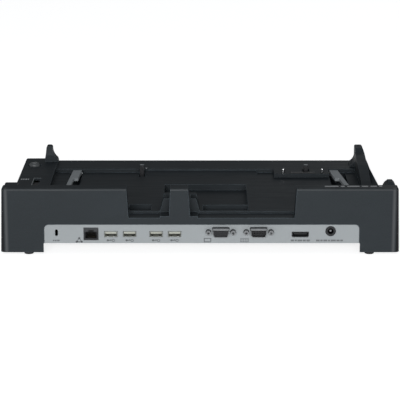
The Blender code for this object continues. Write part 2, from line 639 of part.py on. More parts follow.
def build_dock_connector():
    """The raised connector block with two guide pins, its board and the flat cable down to the ports."""
    floor = TRAY + GAP
    carrier = box("dock_connector_carrier", DOCK_X, DOCK_Y, (floor, DOCK_Z))
    bevel_edges(carrier, lambda a, b: min(a.z, b.z) > DOCK_Z - 0.01, 0.6, 2)
    middle = sum(PIN_X) / 2
    y = sum(DOCK_Y) / 2
    cut(carrier, box("tool", span(HOOK_X[1], 7.6), (HOOK_Y - 9.4, DOCK_Y[1] + 2), (0, 60)))
    cut(carrier, box("tool", span(middle, 27.4), (y - 9.4, y - 3.4), (DOCK_Z - 2.4, 60)))
    for x in PIN_X:
        cut(carrier, cylinder("tool", (x, y - 5.6), 1.8, "Z", DOCK_Z - 3.0, 60, 16))
    finish(carrier, CASE, (middle, y, floor))

    height = (DOCK_Z - 2.0, DOCK_Z + 0.5)
    insert = box("dock_connector_insert", span(middle, 26.6), (y - 9.0, y - 3.8), height)
    cut(insert, box("tool", span(middle, 24.4), (y - 7.8, y - 7.0), (DOCK_Z - 0.6, 60)))
    cut(insert, box("tool", span(middle, 24.4), (y - 5.8, y - 5.0), (DOCK_Z - 0.6, 60)))
    finish(insert, BLACK, (middle, y - 6.4, DOCK_Z))

    for x, word in zip(PIN_X, ("left", "right")):
        pin = cylinder(f"guide_pin_{word}", (x, y - 5.6), 1.45, "Z", DOCK_Z - 2.6, DOCK_Z + 4.4, 20)
        bevel_edges(pin, lambda a, b: min(a.z, b.z) > DOCK_Z + 4.39, 0.8, 3)
        finish(pin, STEEL, (x, y - 5.6, DOCK_Z))

    height = (CEILING - 2.4, CEILING - GAP)
    board = box("dock_board", (86.0, 110.0), (REAR + 150.0, REAR + 160.0), height)
    finish(board, BOARD, (98, REAR + 155, 37))
    top, low = CEILING - 2.7, BOARD_Z + BOARD_THICK + GAP
    start, end = REAR + 158.0, REAR + 66.0
    ribbon = [(start, top), (start, top - 0.5), (end + 0.5, top - 0.5), (end + 0.5, low), (end - 6.0, low)]
    ribbon += [(end - 6.0, low + 0.5), (end, low + 0.5), (end, top)]
    finish(prism("flat_cable", ribbon, "X", 88.0, 108.0), CABLE, (98, end, top))


# ---- latch and release lever ---------------------------------------------------------------------------

def build_latch():
    """The sliding latch bar under the tray, with its two hooks."""
    low, high = 18.5, 24.5
    bar = box("latch_slide", (HOOK_X[0] - 4, 183.0), (PIVOT[0] - 6.0, PIVOT[0] + 6.0), (low, high))
    cut(bar, box("tool", (175.0, 181.4), (PIVOT[0] - 2.2, PIVOT[0] + 2.2), (low - 1, high + 1)))
    for x in HOOK_X:
        join(bar, box("tool", (x - 4, x + 4), (PIVOT[0] + 5.0, HOOK_Y + 3.5), (low, high)))
    finish(bar, STEEL, (0, HOOK_Y, low))
    for x, word in zip(HOOK_X, ("left", "right")):
        profile = [
            (HOOK_Y - 2.6, high + GAP), (HOOK_Y + 2.6, high + GAP), (HOOK_Y + 2.6, 48.6),
            (HOOK_Y + 4.8, 48.6), (HOOK_Y + 4.8, 50.2), (HOOK_Y + 3.0, 52.0),
            (HOOK_Y - 1.4, 52.0), (HOOK_Y - 2.6, 50.6),
        ]
        hook = prism(f"latch_hook_{word}", profile, "X", x - 2.4, x + 2.4)
        finish(hook, BLACK, (x, HOOK_Y, high))


def build_lever():
    """The side release lever with its thumb grip, and its shaft, whose crank drives the latch bar."""
    y0, z0 = PIVOT
    grip = [(REAR + 18.6, 50.0), (REAR + 18.6, 66.6)] + arc(REAR + 23.6, 65.6, 5.0, 168, 90, 4)
    grip += arc(REAR + 32.0, 62.6, 8.0, 90, 20, 4) + [(REAR + 45.0, 56.0), (REAR + 46.0, 50.0)]
    lever = prism("release_lever", grip, "X", 184.0, 202.0)
    hump = [(187.2, 40.0), (187.4, 62.5), (189.0, 66.4), (191.4, 69.3), (193.4, 70.5), (195.2, 70.5)]
    hump += [(197.0, 69.3), (199.0, 66.6), (200.9, 62.5), (201.0, 50.0), (197.6, 44.0), (197.6, 40.0)]
    combine(lever, prism("tool", hump, "Y", REAR, REAR + 60), "INTERSECT")
    arm = [(REAR + 18.6, 52.0), (REAR + 18.6, 30.0), (REAR + 26.0, 26.4), (y0, 26.4)]
    arm += arc(y0, z0, 6.6, -90, 90, 8) + [(REAR + 110.0, 43.0), (REAR + 46.0, 54.0)]
    join(lever, prism("tool", arm, "X", 189.2, 197.6))
    cut(lever, cylinder("tool", PIVOT, 2.8, "X", 180.0, 200.0))
    finish(lever, CASE, (193.5, y0, z0))
    shaft = cylinder("lever_shaft", PIVOT, 2.45, "X", 174.2, 197.4, 20)
    join(shaft, cylinder("tool", PIVOT, 4.6, "X", 176.2, 180.2, 20))
    join(shaft, box("tool", (176.2, 180.2), (y0 - 0.8, y0 + 0.8), (z0 - CRANK, z0)))
    join(shaft, cylinder("tool", (y0, z0 - CRANK), 1.5, "X", 176.2, 180.2, 14))
    finish(shaft, STEEL, (186, y0, z0))
    coil = spring("lever_spring", PIVOT, 3.4, 0.4, "X", 180.6, 185.6, 4)
    finish(coil, STEEL, (183, y0, z0))


# ---- lift arms, button and slider ----------------------------------------------------------------------

def build_arms():
    """The two sprung lift arms that raise the laptop off the connector, with their pins and springs."""
    py, pz = ARM_PIVOT
    for centre, word, toe in ((ARM_LEFT, "left", 1.0), (ARM_RIGHT, "right", 4.6)):
        side = math.copysign(1.0, centre)
        inner, outer = centre - side * ARM_WIDTH / 2, centre + side * ARM_WIDTH / 2
        near, step = REAR + 64.0, REAR + 126.0
        shift = side * toe * (py - near) / (py - (REAR + 96.0))
        part = side * toe * (py - step) / (py - (REAR + 96.0))
        plan = [
            (inner, py + 1.0), (outer, py + 1.0), (outer + shift, near),
            (outer + shift - side * ARM_WIDTH * 0.52, near),
            (outer + part - side * ARM_WIDTH * 0.52, step), (inner + part, step),
        ]
        rise = math.tan(math.radians(3.9))

        def level(y, base):
            return base + (py - y) * rise

        arm = loft(
            f"lift_arm_{word}",
            [(x, y, level(y, 41.4)) for x, y in plan],
            [(x, y, level(y, 44.4)) for x, y in plan],
        )
        low, high = sorted((inner, outer))
        join(arm, cylinder("tool", (py, pz), 3.0, "X", low, high, 16))
        cut(arm, cylinder("tool", (py, pz), 1.4, "X", low - 5, high + 5, 14))
        finish(arm, PAD, (centre, py, pz))
        pin = cylinder(f"lift_pin_{word}", (py, pz), 1.3, "X", low - 0.6, high + 0.6, 14)
        finish(pin, STEEL, (centre, py, pz))
        spot = (outer + shift * 0.8 - side * ARM_WIDTH * 0.26, REAR + 84.0)
        top = level(spot[1], 41.4) - GAP - 0.3
        coil = spring(f"lift_spring_{word}", spot, 1.9, 0.4, "Z", 33.0 + GAP, top, 6)
        finish(coil, STEEL, (spot[0], spot[1], 33.0))


def build_button():
    """The round power button, its return spring, and the small board with its switch."""
    bx, by = BUTTON_AT
    top = DECK + BUTTON_RISE
    button = cylinder("power_button", (bx, by), BUTTON_RADIUS, "Z", 43.0, top, 28)
    bevel_edges(button, lambda a, b: min(a.z, b.z) > top - 0.01, 2.2, 4)
    join(button, cylinder("tool", (bx, by), 7.1, "Z", 42.2, DECK - WALL - GAP, 24))
    join(button, cylinder("tool", (bx, by), 2.0, "Z", 38.6, 42.5, 16))
    finish(button, BUTTON, (bx, by, DECK))
    coil = spring("button_spring", (bx, by), 4.2, 0.4, "Z", BOARD_TOP + GAP, 42.2 - GAP, 4)
    finish(coil, STEEL, (bx, by, BOARD_TOP))
    board = box("button_board", span(bx, 16.0), span(by, 24.6), (BOARD_TOP - 1.6, BOARD_TOP))
    finish(board, BOARD, (bx, by, BOARD_TOP - 1.6))
    switch = box("tact_switch", span(bx, 5.0), span(by, 5.0), (BOARD_TOP + GAP, BOARD_TOP + 2.2))
    join(switch, cylinder("tool", (bx, by), 1.2, "Z", BOARD_TOP + 2.0, BOARD_TOP + 2.9, 12))
    finish(switch, BLACK, (bx, by, BOARD_TOP))


def build_slider():
    """The lock slider in the left deck's slot."""
    low, high = SLIDER_X - SLIDER_HALF + GAP, SLIDER_X + SLIDER_HALF - GAP
    start, step = SLIDER_SLOT[0] + 1.2, DECK - WALL - GAP
    plate_y = (start - 0.6, start + 25.0)
    plate = box("lock_slider", span(SLIDER_X, 12.4), plate_y, (SLIDER_LOW, step))
    join(plate, box("tool", (low, high), (start, start + 10.4), (step - 1.0, DECK - 0.7)))
    for k in range(3):
        y = start + 2.4 + 2.8 * k
        cut(plate, box("tool", (low - 1, high + 1), (y, y + 0.9), (DECK - 1.3, DECK)))
    finish(plate, BLACK, (SLIDER_X, start + 5.2, DECK))


# ---- assembly ------------------------------------------------------------------------------------------

def main():
    for old in list(bpy.data.objects):
        bpy.data.objects.remove(old)
    build_case()
    build_posts()
    build_panel()
    build_ports()
    build_dock_connector()
    build_latch()
    build_lever()
    build_arms()
    build_button()
    build_slider()


main()
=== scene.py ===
"""The looks of the laptop docking station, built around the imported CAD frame.

Everything is in metres in the frame's own axes: +X right seen from the ports, +Y towards the user, +Z up.
Helper sizes are in millimetres and carry the factor MM.
"""

import json
import math

import bmesh
import bpy
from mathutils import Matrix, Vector

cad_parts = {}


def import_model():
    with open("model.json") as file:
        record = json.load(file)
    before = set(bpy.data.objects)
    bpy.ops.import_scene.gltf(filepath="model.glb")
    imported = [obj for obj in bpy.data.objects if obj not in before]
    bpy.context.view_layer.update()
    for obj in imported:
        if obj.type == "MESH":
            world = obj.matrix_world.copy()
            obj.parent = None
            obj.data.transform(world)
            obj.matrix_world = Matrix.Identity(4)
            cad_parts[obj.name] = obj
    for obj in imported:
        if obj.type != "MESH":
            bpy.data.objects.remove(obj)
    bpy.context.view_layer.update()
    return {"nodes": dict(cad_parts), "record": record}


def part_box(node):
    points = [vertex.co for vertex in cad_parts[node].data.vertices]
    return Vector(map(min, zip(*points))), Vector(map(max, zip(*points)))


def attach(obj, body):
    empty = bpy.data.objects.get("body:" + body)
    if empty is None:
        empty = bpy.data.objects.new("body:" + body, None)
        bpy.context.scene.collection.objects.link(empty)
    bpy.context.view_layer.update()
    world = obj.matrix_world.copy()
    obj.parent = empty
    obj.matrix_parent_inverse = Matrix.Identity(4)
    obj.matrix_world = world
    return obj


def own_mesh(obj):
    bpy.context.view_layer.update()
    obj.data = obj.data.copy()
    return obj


MM = 0.001
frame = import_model()

NODES = frame["nodes"]
CASE_LOW, CASE_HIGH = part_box("upper_case")
REAR = CASE_LOW.y                          # the port face
PANEL_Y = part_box("port_panel")[0].y        # the panel's outer face
TOP = CASE_HIGH.z                          # the rear wall's top
DECK = 47.8 * MM                           # the left deck's level
STRIP = 45.0 * MM                          # the front strip's level
PRINT = 0.05 * MM                          # thickness of a printed mark
MARK_Z = 14.9 * MM                         # height of the row of marks under the ports
MARK_GAP = 0.7 * MM                        # between the bars of a caption

# Rear corners: where the painted highlight band lies, measured sideways from the middle, and how deep it
# reaches; its colour, and where painted shade darkens the edge beyond it
BAND = (193.4 * MM, 195.6 * MM, 196.2 * MM, 198.0 * MM)
PAINTED_HIGHLIGHT = (0.09, 0.096, 0.101)
PAINTED_SHADE_EDGE = (197.6 * MM, 199.2 * MM)
BAND_DEPTH = (6.5 * MM, 5.0 * MM)
CREST_DROP = (2.1 * MM, 1.1 * MM)          # the top edge's painted highlight band, down from the top
CREST_DEPTH = (1.8 * MM, 0.9 * MM)

# Camera: behind the ports, looking slightly down
PITCH = math.radians(15.0)
DISTANCE = 1.727
AIM_Z = 57.5 * MM
SENSOR = 36.0                              # millimetres, as Blender has it
LENS = 154.53

# Lamps: place, size of the panel, and power in watts
LAMPS = {
    "key": ((-0.6, -2.7, 0.8), (1.0, 0.8), 23),
    "fill": ((0.6, -2.7, 0.75), (0.9, 0.8), 14.5),
    "front": ((0.9, 2.6, 1.2), (1.2, 0.8), 1.6),
    "left": ((-2.4, 0.6, 0.4), (1.0, 0.7), 4),
    "right": ((2.4, 0.6, 0.4), (1.0, 0.7), 4),
    "top": ((-0.4, 0.2, 2.2), (1.4, 1.4), 1.5),
}
LAMP_TARGET = Vector((0.0, 0.0, 0.03))


# ---- shader helpers ------------------------------------------------------------------------------------

class Shader:
    """A material's node tree with short ways to add and join nodes."""

    def __init__(self, name, colour, roughness, metallic=0.0):
        self.material = bpy.data.materials.new(name)
        self.material.use_nodes = True
        self.tree = self.material.node_tree
        self.bsdf = self.tree.nodes["Principled BSDF"]
        self.colour = colour
        self.bsdf.inputs["Base Color"].default_value = (*colour, 1.0)
        self.bsdf.inputs["Roughness"].default_value = roughness
        self.bsdf.inputs["Metallic"].default_value = metallic
        self.place = self.node("ShaderNodeTexCoord").outputs["Object"]
        self.normal = None

    def node(self, kind, **values):
        """Adds a node; each value is an input's name (spaces as _) or a property of the node."""
        made = self.tree.nodes.new(kind)
        for key, value in values.items():
            words = key.replace("_", " ")
            if words in made.inputs:
                made.inputs[words].default_value = value
            else:
                setattr(made, key, value)
        return made

    def link(self, output, target):
        self.tree.links.new(output, target)

    def noise(self, size, detail=3.0, stretch=(1.0, 1.0, 1.0)):
        """Noise whose features are about size metres across, stretched along the axes."""
        mapping = self.node("ShaderNodeMapping")
        mapping.inputs["Scale"].default_value = [1.0 / (size * s) for s in stretch]
        self.link(self.place, mapping.inputs["Vector"])
        made = self.node("ShaderNodeTexNoise", Scale=1.0, Detail=detail)
        self.link(mapping.outputs["Vector"], made.inputs["Vector"])
        return made.outputs["Fac"]

    def ramp(self, value, low, high, start=0.0, end=1.0):
        """Maps a value from low..high to start..end."""
        made = self.node("ShaderNodeMapRange")
        made.inputs["From Min"].default_value = low
        made.inputs["From Max"].default_value = high
        made.inputs["To Min"].default_value = start
        made.inputs["To Max"].default_value = end
        self.link(value, made.inputs["Value"])
        return made.outputs["Result"]

    def mix(self, factor, one, two):
        """A colour between one and two; each is a colour or another output."""
        made = self.node("ShaderNodeMix", data_type="RGBA")
        self.link(factor, made.inputs["Factor"])
        for value, socket in ((one, made.inputs["A"]), (two, made.inputs["B"])):
            for candidate in made.inputs:
                if candidate.type == "RGBA" and candidate.name == socket.name:
                    socket = candidate
            if isinstance(value, tuple):
                socket.default_value = (*value, 1.0)
            else:
                self.link(value, socket)
        return next(o for o in made.outputs if o.type == "RGBA")

    def math(self, operation, one, two):
        """One arithmetic step on two values."""
        made = self.node("ShaderNodeMath", operation=operation)
        for value, socket in ((one, made.inputs[0]), (two, made.inputs[1])):
            if isinstance(value, (int, float)):
                socket.default_value = value
            else:
                self.link(value, socket)
        return made.outputs[0]

    def bump(self, height, depth, strength=1.0):
        """Adds a bump of depth metres on top of any earlier one."""
        made = self.node("ShaderNodeBump", Strength=strength, Distance=depth)
        self.link(height, made.inputs["Height"])
        if self.normal is not None:
            self.link(self.normal, made.inputs["Normal"])
        self.normal = made.outputs["Normal"]
        self.link(self.normal, self.bsdf.inputs["Normal"])

    def paint(self, colour):
        self.link(colour, self.bsdf.inputs["Base Color"])

    def rough(self, value):
        self.link(value, self.bsdf.inputs["Roughness"])

    def worn_and_highlit_edges(self, colour, amount):
        """Pales the colour along edges: partly wear where handling has polished the plastic, partly a
        painted highlight along the edges.
        """
        edge = self.node("ShaderNodeBevel", Radius=0.9 * MM, samples=6)
        flat = self.node("ShaderNodeNewGeometry").outputs["Normal"]
        turn = self.node("ShaderNodeVectorMath", operation="DOT_PRODUCT")
        self.link(edge.outputs["Normal"], turn.inputs[0])
        self.link(flat, turn.inputs[1])
        patches = self.ramp(self.noise(12 * MM, 3.0), 0.35, 0.6, 0.55, 1.0)
        # edge wear strengthened into a painted highlight along the edges
        wear_and_highlight = self.math("MULTIPLY", self.ramp(turn.outputs["Value"], 0.99, 0.86), patches)
        self.paint(self.mix(wear_and_highlight, colour, self.tint(amount)))

    def painted_corner_light(self, colour):
        """Painted highlight bands on the rounded rear corners and top edge, and painted shade on the edge
        beyond them.
        """
        split = self.node("ShaderNodeSeparateXYZ")
        self.link(self.place, split.inputs["Vector"])
        side = self.math("ABSOLUTE", split.outputs["X"], 0.0)
        low, full, fade, end = BAND
        rear = self.ramp(split.outputs["Y"], *(REAR + d for d in BAND_DEPTH))
        band = self.math("MULTIPLY", self.ramp(side, low, full), self.ramp(side, end, fade))
        crest = self.math("MULTIPLY", self.ramp(split.outputs["Z"], *(TOP - d for d in CREST_DROP)),
                          self.ramp(split.outputs["Y"], *(REAR + d for d in CREST_DEPTH)))
        # painted highlight on the corner bands and, weaker, along the top edge
        shown = self.math("MAXIMUM", self.math("MULTIPLY", band, rear), self.math("MULTIPLY", crest, 0.6))
        pale = self.mix(shown, colour, PAINTED_HIGHLIGHT)
        # painted shade on the outer edge of each rear corner
        edge = self.math("MULTIPLY", self.ramp(side, *PAINTED_SHADE_EDGE), rear)
        return self.mix(edge, pale, self.tint(0.12))

    def tint(self, amount):
        """The material's colour made lighter or darker by a factor."""
        return tuple(min(1.0, c * amount) for c in self.colour)


def moulded(name, colour, roughness, grain=0.9, depth=0.03, spread=0.12, edge_wear_and_highlight=0.0, corners=False):
    """Spark-eroded plastic: a fine stipple, soft colour drift, and a few fine rub marks; on request pale
    edges (partly wear, partly painted highlight) and painted light on the rear corners.
    """
    s = Shader(name, colour, roughness)
    stipple = s.noise(grain * MM, 2.0)
    drift = s.noise(60 * MM, 2.0)
    rubs = s.noise(9 * MM, 4.0, (4.0, 0.6, 1.0))
    shade = s.mix(s.ramp(drift, 0.3, 0.7), s.tint(1 - spread), s.tint(1 + spread))
    flecks = s.mix(s.ramp(stipple, 0.35, 0.75), s.tint(1 - spread), s.tint(1 + 1.6 * spread))
    both = s.mix(s.ramp(rubs, 0.45, 0.6, 0.35, 0.65), shade, flecks)
    # painted highlight and painted shade on the rear corners and top edge
    if corners:
        both = s.painted_corner_light(both)
    s.paint(both)
    s.rough(s.ramp(s.math("ADD", drift, rubs), 0.7, 1.3, roughness - 0.05, roughness + 0.07))
    s.bsdf.inputs["Specular IOR Level"].default_value = 0.25
    s.bump(stipple, depth * MM)
    # pale edges: partly wear, partly painted highlight
    if edge_wear_and_highlight:
        s.worn_and_highlit_edges(both, edge_wear_and_highlight)
    return s.material


def satin(name, colour, roughness, spread=0.06):
    """Smooth moulded plastic with faint flow lines."""
    s = Shader(name, colour, roughness)
    flow = s.noise(14 * MM, 3.0, (3.0, 1.0, 0.5))
    s.paint(s.mix(s.ramp(flow, 0.3, 0.7), s.tint(1 - spread), s.tint(1 + spread)))
    s.rough(s.ramp(flow, 0.3, 0.7, roughness - 0.04, roughness + 0.06))
    s.bump(s.noise(0.5 * MM, 2.0), 0.008 * MM)
    return s.material


def plated(name, colour, roughness, along=(6.0, 1.0, 1.0)):
    """Plated or brushed metal with fine streaks and a few dull spots."""
    s = Shader(name, colour, roughness, 1.0)
    streaks = s.noise(0.35 * MM, 3.0, along)
    spots = s.noise(2.5 * MM, 3.0)
    s.paint(s.mix(s.ramp(spots, 0.4, 0.7), s.tint(0.86), s.tint(1.08)))
    s.rough(s.ramp(s.math("ADD", streaks, spots), 0.7, 1.3, roughness - 0.08, roughness + 0.12))
    s.bump(streaks, 0.006 * MM)
    return s.material


def rubber(name):
    """Matt black rubber with a pebbled skin."""
    s = Shader(name, (0.016, 0.016, 0.017), 0.85)
    pebbles = s.noise(0.6 * MM, 2.0)
    s.paint(s.mix(s.ramp(pebbles, 0.35, 0.7), s.tint(0.7), s.tint(1.6)))
    s.bump(pebbles, 0.05 * MM)
    return s.material


def laminate(name):
    """Green solder mask over copper tracks that run in both directions."""
    mask, raised, track = (0.012, 0.075, 0.035), (0.018, 0.1, 0.045), (0.05, 0.19, 0.07)
    s = Shader(name, mask, 0.35)
    tracks = s.node("ShaderNodeTexBrick", Scale=260.0, Mortar_Size=0.012, Bias=0.0)
    for socket, colour in (("Color1", mask), ("Color2", raised), ("Mortar", track)):
        tracks.inputs[socket].default_value = (*colour, 1)
    s.link(s.place, tracks.inputs["Vector"])
    s.paint(tracks.outputs["Color"])
    s.bump(tracks.outputs["Fac"], 0.02 * MM)
    return s.material


def ribbon(name):
    """A flat ribbon cable: parallel cores along its length."""
    s = Shader(name, (0.4, 0.39, 0.35), 0.45)
    cores = s.node("ShaderNodeTexWave", wave_type="BANDS", bands_direction="X", Scale=320.0, Distortion=0.0)
    s.link(s.place, cores.inputs["Vector"])
    s.paint(s.mix(cores.outputs["Fac"], (0.22, 0.215, 0.2), (0.5, 0.49, 0.45)))
    s.bump(cores.outputs["Fac"], 0.2 * MM)
    return s.material


CHARCOAL = (0.0255, 0.0325, 0.038)
# Its edges are paled: partly wear, partly painted highlight
CASE = moulded("case_plastic", CHARCOAL, 0.5, edge_wear_and_highlight=3.0)
# The shell's rear corners and top edge carry painted highlight and painted shade
SHELL = moulded("shell_plastic", CHARCOAL, 0.5, edge_wear_and_highlight=4.2, corners=True)
BASE = moulded("base_plastic", (0.02, 0.022, 0.025), 0.55, 1.2, 0.04)
PANEL = moulded("panel_plastic", (0.4, 0.428, 0.442), 0.42, 0.7, 0.015, 0.03)
PAD = moulded("pad_plastic", (0.4, 0.43, 0.45), 0.45, 0.8, 0.02, 0.05)
BUTTON = satin("button_plastic", (0.1, 0.108, 0.115), 0.35)
BLACK = satin("black_plastic", (0.013, 0.014, 0.017), 0.38)
DARK = satin("socket_plastic", (0.045, 0.048, 0.053), 0.42)
PALE = satin("pale_plastic", (0.5, 0.51, 0.45), 0.45)
STEEL = plated("nickel_plate", (0.56, 0.57, 0.58), 0.3)
BRIGHT = plated("bright_steel", (0.75, 0.76, 0.77), 0.18)
DULL = plated("zinc_plate", (0.3, 0.31, 0.32), 0.5)
TIN = satin("tin_plate", (0.44, 0.46, 0.43), 0.4)
GOLD = plated("gold_contacts", (0.5, 0.38, 0.2), 0.4)
DULL_GOLD = plated("dull_gilt", (0.1, 0.08, 0.05), 0.5)
RUBBER = rubber("foot_rubber")
BOARD = laminate("board_laminate")
CABLE = ribbon("ribbon_cable")
INK = satin("grey_ink", (0.17, 0.18, 0.19), 0.6)
MARK = satin("white_ink", (0.5, 0.52, 0.54), 0.55)

LOOKS = {
    "case": CASE, "base": BASE, "panel": PANEL, "pad": PAD, "black_plastic": BLACK, "pale_plastic": PALE,
    "steel": STEEL, "rubber": RUBBER, "board": BOARD, "button": BUTTON, "cable": CABLE,
}

# Nodes whose look differs from their slot's
SPECIAL = {
    "upper_case": SHELL,
    "guide_pin_left": BRIGHT, "guide_pin_right": BRIGHT, "video_socket": DARK,
    "dock_connector_insert": DARK, "dc_jack_pin": DULL,
    "vga_jackscrew_left": DULL, "vga_jackscrew_right": DULL, "serial_jackscrew_left": DULL,
    "serial_jackscrew_right": DULL, "vga_shell": DULL, "serial_shell": DULL, "usb_port_1": TIN,
    "usb_port_2": TIN, "usb_port_3": TIN, "usb_port_4": TIN,
}

# Radius in mm given to a node's hard edges
ROUNDING = {
    "upper_case": 0.5, "base_cover": 0.4, "guide_post_left": 0.6, "guide_post_right": 0.6,
    "release_lever": 0.7, "dock_connector_carrier": 0.25, "port_panel": 0.2, "lift_arm_left": 0.4,
    "lift_arm_right": 0.4, "lan_jack": 0.2, "lock_slider": 0.2, "latch_hook_left": 0.3,
    "latch_hook_right": 0.3,
}

# Springs that shorten: the joint, the lower end's height in mm, and the share of length left at the limit
SPRINGS = {
    "button_spring": ("power_button_press", 34.3, 0.79),
    "lift_spring_left": ("lift_arm_left_press", 33.3, 0.4),
    "lift_spring_right": ("lift_arm_right_press", 33.3, 0.4),
}


SLOTS = {s["node"]: s["material_slot"] for s in frame["record"]["subparts"]}


def dress_node(name):
    """Gives a CAD node its material, rounds its hard edges, and gives a spring its own copy of its mesh."""
    node = NODES[name]
    look = SPECIAL.get(name, LOOKS[SLOTS[name]])
    if node.data.materials:
        for i in range(len(node.data.materials)):
            node.data.materials[i] = look
    else:
        node.data.materials.append(look)
    if name in ROUNDING:
        weld = node.modifiers.new("weld", "WELD")
        weld.merge_threshold = 0.01 * MM
        flat = node.modifiers.new("flat", "DECIMATE")
        flat.decimate_type = "DISSOLVE"
        flat.angle_limit = math.radians(0.8)
        edge = node.modifiers.new("edge", "BEVEL")
        edge.width = ROUNDING[name] * MM
        edge.segments = 3
        edge.limit_method = "ANGLE"
        edge.angle_limit = math.radians(34)
        edge.use_clamp_overlap = True
        edge.harden_normals = True
    if name in SPRINGS:
        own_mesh(node)


# ---- mesh helpers --------------------------------------------------------------------------------------

def mesh_object(bm, name, look):
    """An object in the scene that holds the bmesh and wears one material."""
    mesh = bpy.data.meshes.new(name)
    bm.to_mesh(mesh)
    bm.free()
    mesh.materials.append(look)
    made = bpy.data.objects.new(name, mesh)
    bpy.context.scene.collection.objects.link(made)
    return made


def keep(bm, name, look, body="dock", bevel=0.0):
    """Turns a bmesh into a piece with a look and a material slot, riding on a body."""
    bmesh.ops.recalc_face_normals(bm, faces=bm.faces)
    piece = mesh_object(bm, name, look)
    if bevel:
        edge = piece.modifiers.new("edge", "BEVEL")
        edge.width = bevel * MM
        edge.segments = 2
        edge.limit_method = "ANGLE"
    piece.data.shade_smooth()
    piece.data.set_sharp_from_angle(angle=math.radians(35))
    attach(piece, body)


def add_prism(bm, outline, axis, start, end):
    """Adds an extruded outline (metres): (y, z) along X, (x, z) along Y, (x, y) along Z."""
    def point(a, b, level):
        return {"X": (level, a, b), "Y": (a, level, b), "Z": (a, b, level)}[axis]

    rings = [[bm.verts.new(point(a, b, level)) for a, b in outline] for level in (start, end)]
    count = len(outline)
    for i in range(count):
        j = (i + 1) % count
        bm.faces.new((rings[0][i], rings[0][j], rings[1][j], rings[1][i]))
    bm.faces.new(rings[0])
    bm.faces.new(rings[1])


def bar(cx, cz, width, height, radius=0.0):
    """A rectangle's outline about a centre, with round corners if a radius is given (metres)."""
    if radius <= 0:
        return [
            (cx - width / 2, cz - height / 2), (cx + width / 2, cz - height / 2),
            (cx + width / 2, cz + height / 2), (cx - width / 2, cz + height / 2),
        ]
    points, steps = [], 3
    for sx, sz, turn in ((1, 1, 0), (-1, 1, 90), (-1, -1, 180), (1, -1, 270)):
        for i in range(steps + 1):
            angle = math.radians(turn + 90 * i / steps)
            points.append((
                cx + sx * (width / 2 - radius) + radius * math.cos(angle),
                cz + sz * (height / 2 - radius) + radius * math.sin(angle),
            ))
    return points


def circle(cx, cz, radius, sides=20):
    """A circle's outline (metres)."""
    turns = [2 * math.pi * i / sides for i in range(sides)]
    return [(cx + radius * math.cos(t), cz + radius * math.sin(t)) for t in turns]


def stroke(a, b, width):
    """A line of a given width between two points, as an outline."""
    a, b = Vector(a), Vector(b)
    side = (b - a).normalized().orthogonal() * width / 2
    return [tuple(p) for p in (a + side, b + side, b - side, a - side)]


def centre(node):
    """The middle of a CAD node's box."""
    low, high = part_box(node)
    return (low + high) / 2


# ---- printed marks: plain shapes only ------------------------------------------------------------------

def add_frame(put, cx, cz, width, height, line):
    """Puts four bars that outline a rectangle."""
    for side in (1, -1):
        put(bar(cx, cz + side * (height - line) / 2, width, line))
    for side in (1, -1):
        put(bar(cx + side * (width - line) / 2, cz, line, height - 2 * line))


def network_mark(put, x):
    """Three joined dots."""
    foot = MARK_Z - 1.4 * MM
    corners = ((x, MARK_Z + 2.6 * MM), (x - 2.6 * MM, foot), (x + 2.6 * MM, foot))
    for i, corner in enumerate(corners):
        put(stroke(corner, corners[(i + 1) % 3], 0.8 * MM))
    for corner in corners:
        put(circle(*corner, 1.1 * MM, 12))


def usb_mark(put, x):
    """A dot with a stem, and an eight-sided ring with a short stroke."""
    dot, line = (x - 3.2 * MM, MARK_Z + 0.2 * MM), 0.7 * MM
    put(circle(*dot, 1.1 * MM, 12))
    put(stroke(dot, (x + 1.2 * MM, dot[1]), line))
    ring = circle(x + 2.5 * MM, MARK_Z, 1.3 * MM, 8)
    for i, corner in enumerate(ring):
        put(stroke(corner, ring[(i + 1) % 8], line))
    put(stroke((x - 1.0 * MM, MARK_Z), (x + 0.3 * MM, MARK_Z + 1.3 * MM), 0.6 * MM))


def screen_mark(put, x):
    """A plain screen outline."""
    add_frame(put, x, MARK_Z + 0.3 * MM, 7.6 * MM, 4.6 * MM, 1.0 * MM)


def serial_mark(put, x):
    """A framed double row of dots."""
    add_frame(put, x, MARK_Z + 0.3 * MM, 8.4 * MM, 4.2 * MM, 0.6 * MM)
    for k in range(4):
        for rise in (1.0, -0.5):
            put(circle(x + (k - 1.5) * 1.7 * MM, MARK_Z + rise * MM, 0.5 * MM, 10))


def caption(put, middle, widths):
    """A row of plain bars, whose widths are in millimetres, in place of words."""
    x = middle - (sum(widths) * MM + MARK_GAP * (len(widths) - 1)) / 2
    for width in widths:
        put(bar(x + width / 2 * MM, MARK_Z, width * MM, 1.8 * MM, 0.3 * MM))
        x += width * MM + MARK_GAP


def port_marks():
    """The row of generic pictograms and plain bars under the ports."""
    bm = bmesh.new()

    def put(outline):
        add_prism(bm, outline, "Y", PANEL_Y - PRINT, PANEL_Y + PRINT)

    lock_x = centre("lock_slot_plate").x
    for dx, width in ((-3.0, 1.6), (-0.8, 1.6), (1.8, 2.6)):
        put(bar(lock_x + dx * MM, MARK_Z, width * MM, 1.5 * MM, 0.3 * MM))
    network_mark(put, centre("lan_jack").x - 12.0 * MM)
    for i in range(1, 5):
        usb_mark(put, centre(f"usb_port_{i}").x)
    screen_mark(put, centre("vga_shell").x - 13.4 * MM)
    serial_mark(put, centre("serial_shell").x - 14.3 * MM)
    caption(put, centre("video_socket").x, (3.4, 2.2, 4.6, 3.0, 3.4))
    caption(put, centre("dc_jack").x - 1.0 * MM, (3.6, 2.4, 4.0, 2.0, 5.2, 3.2, 2.6))
    keep(bm, "port_marks", INK)


def flat_marks(name, look, level, bars, radius):
    """Flat bars on a level face; each is (x, depth from the port face, width, length) in millimetres."""
    bm = bmesh.new()
    for x, depth, width, length in bars:
        outline = bar(x * MM, REAR + depth * MM, width * MM, length * MM, radius * MM)
        add_prism(bm, outline, "Z", level - PRINT, level + PRINT)
    keep(bm, name, look)


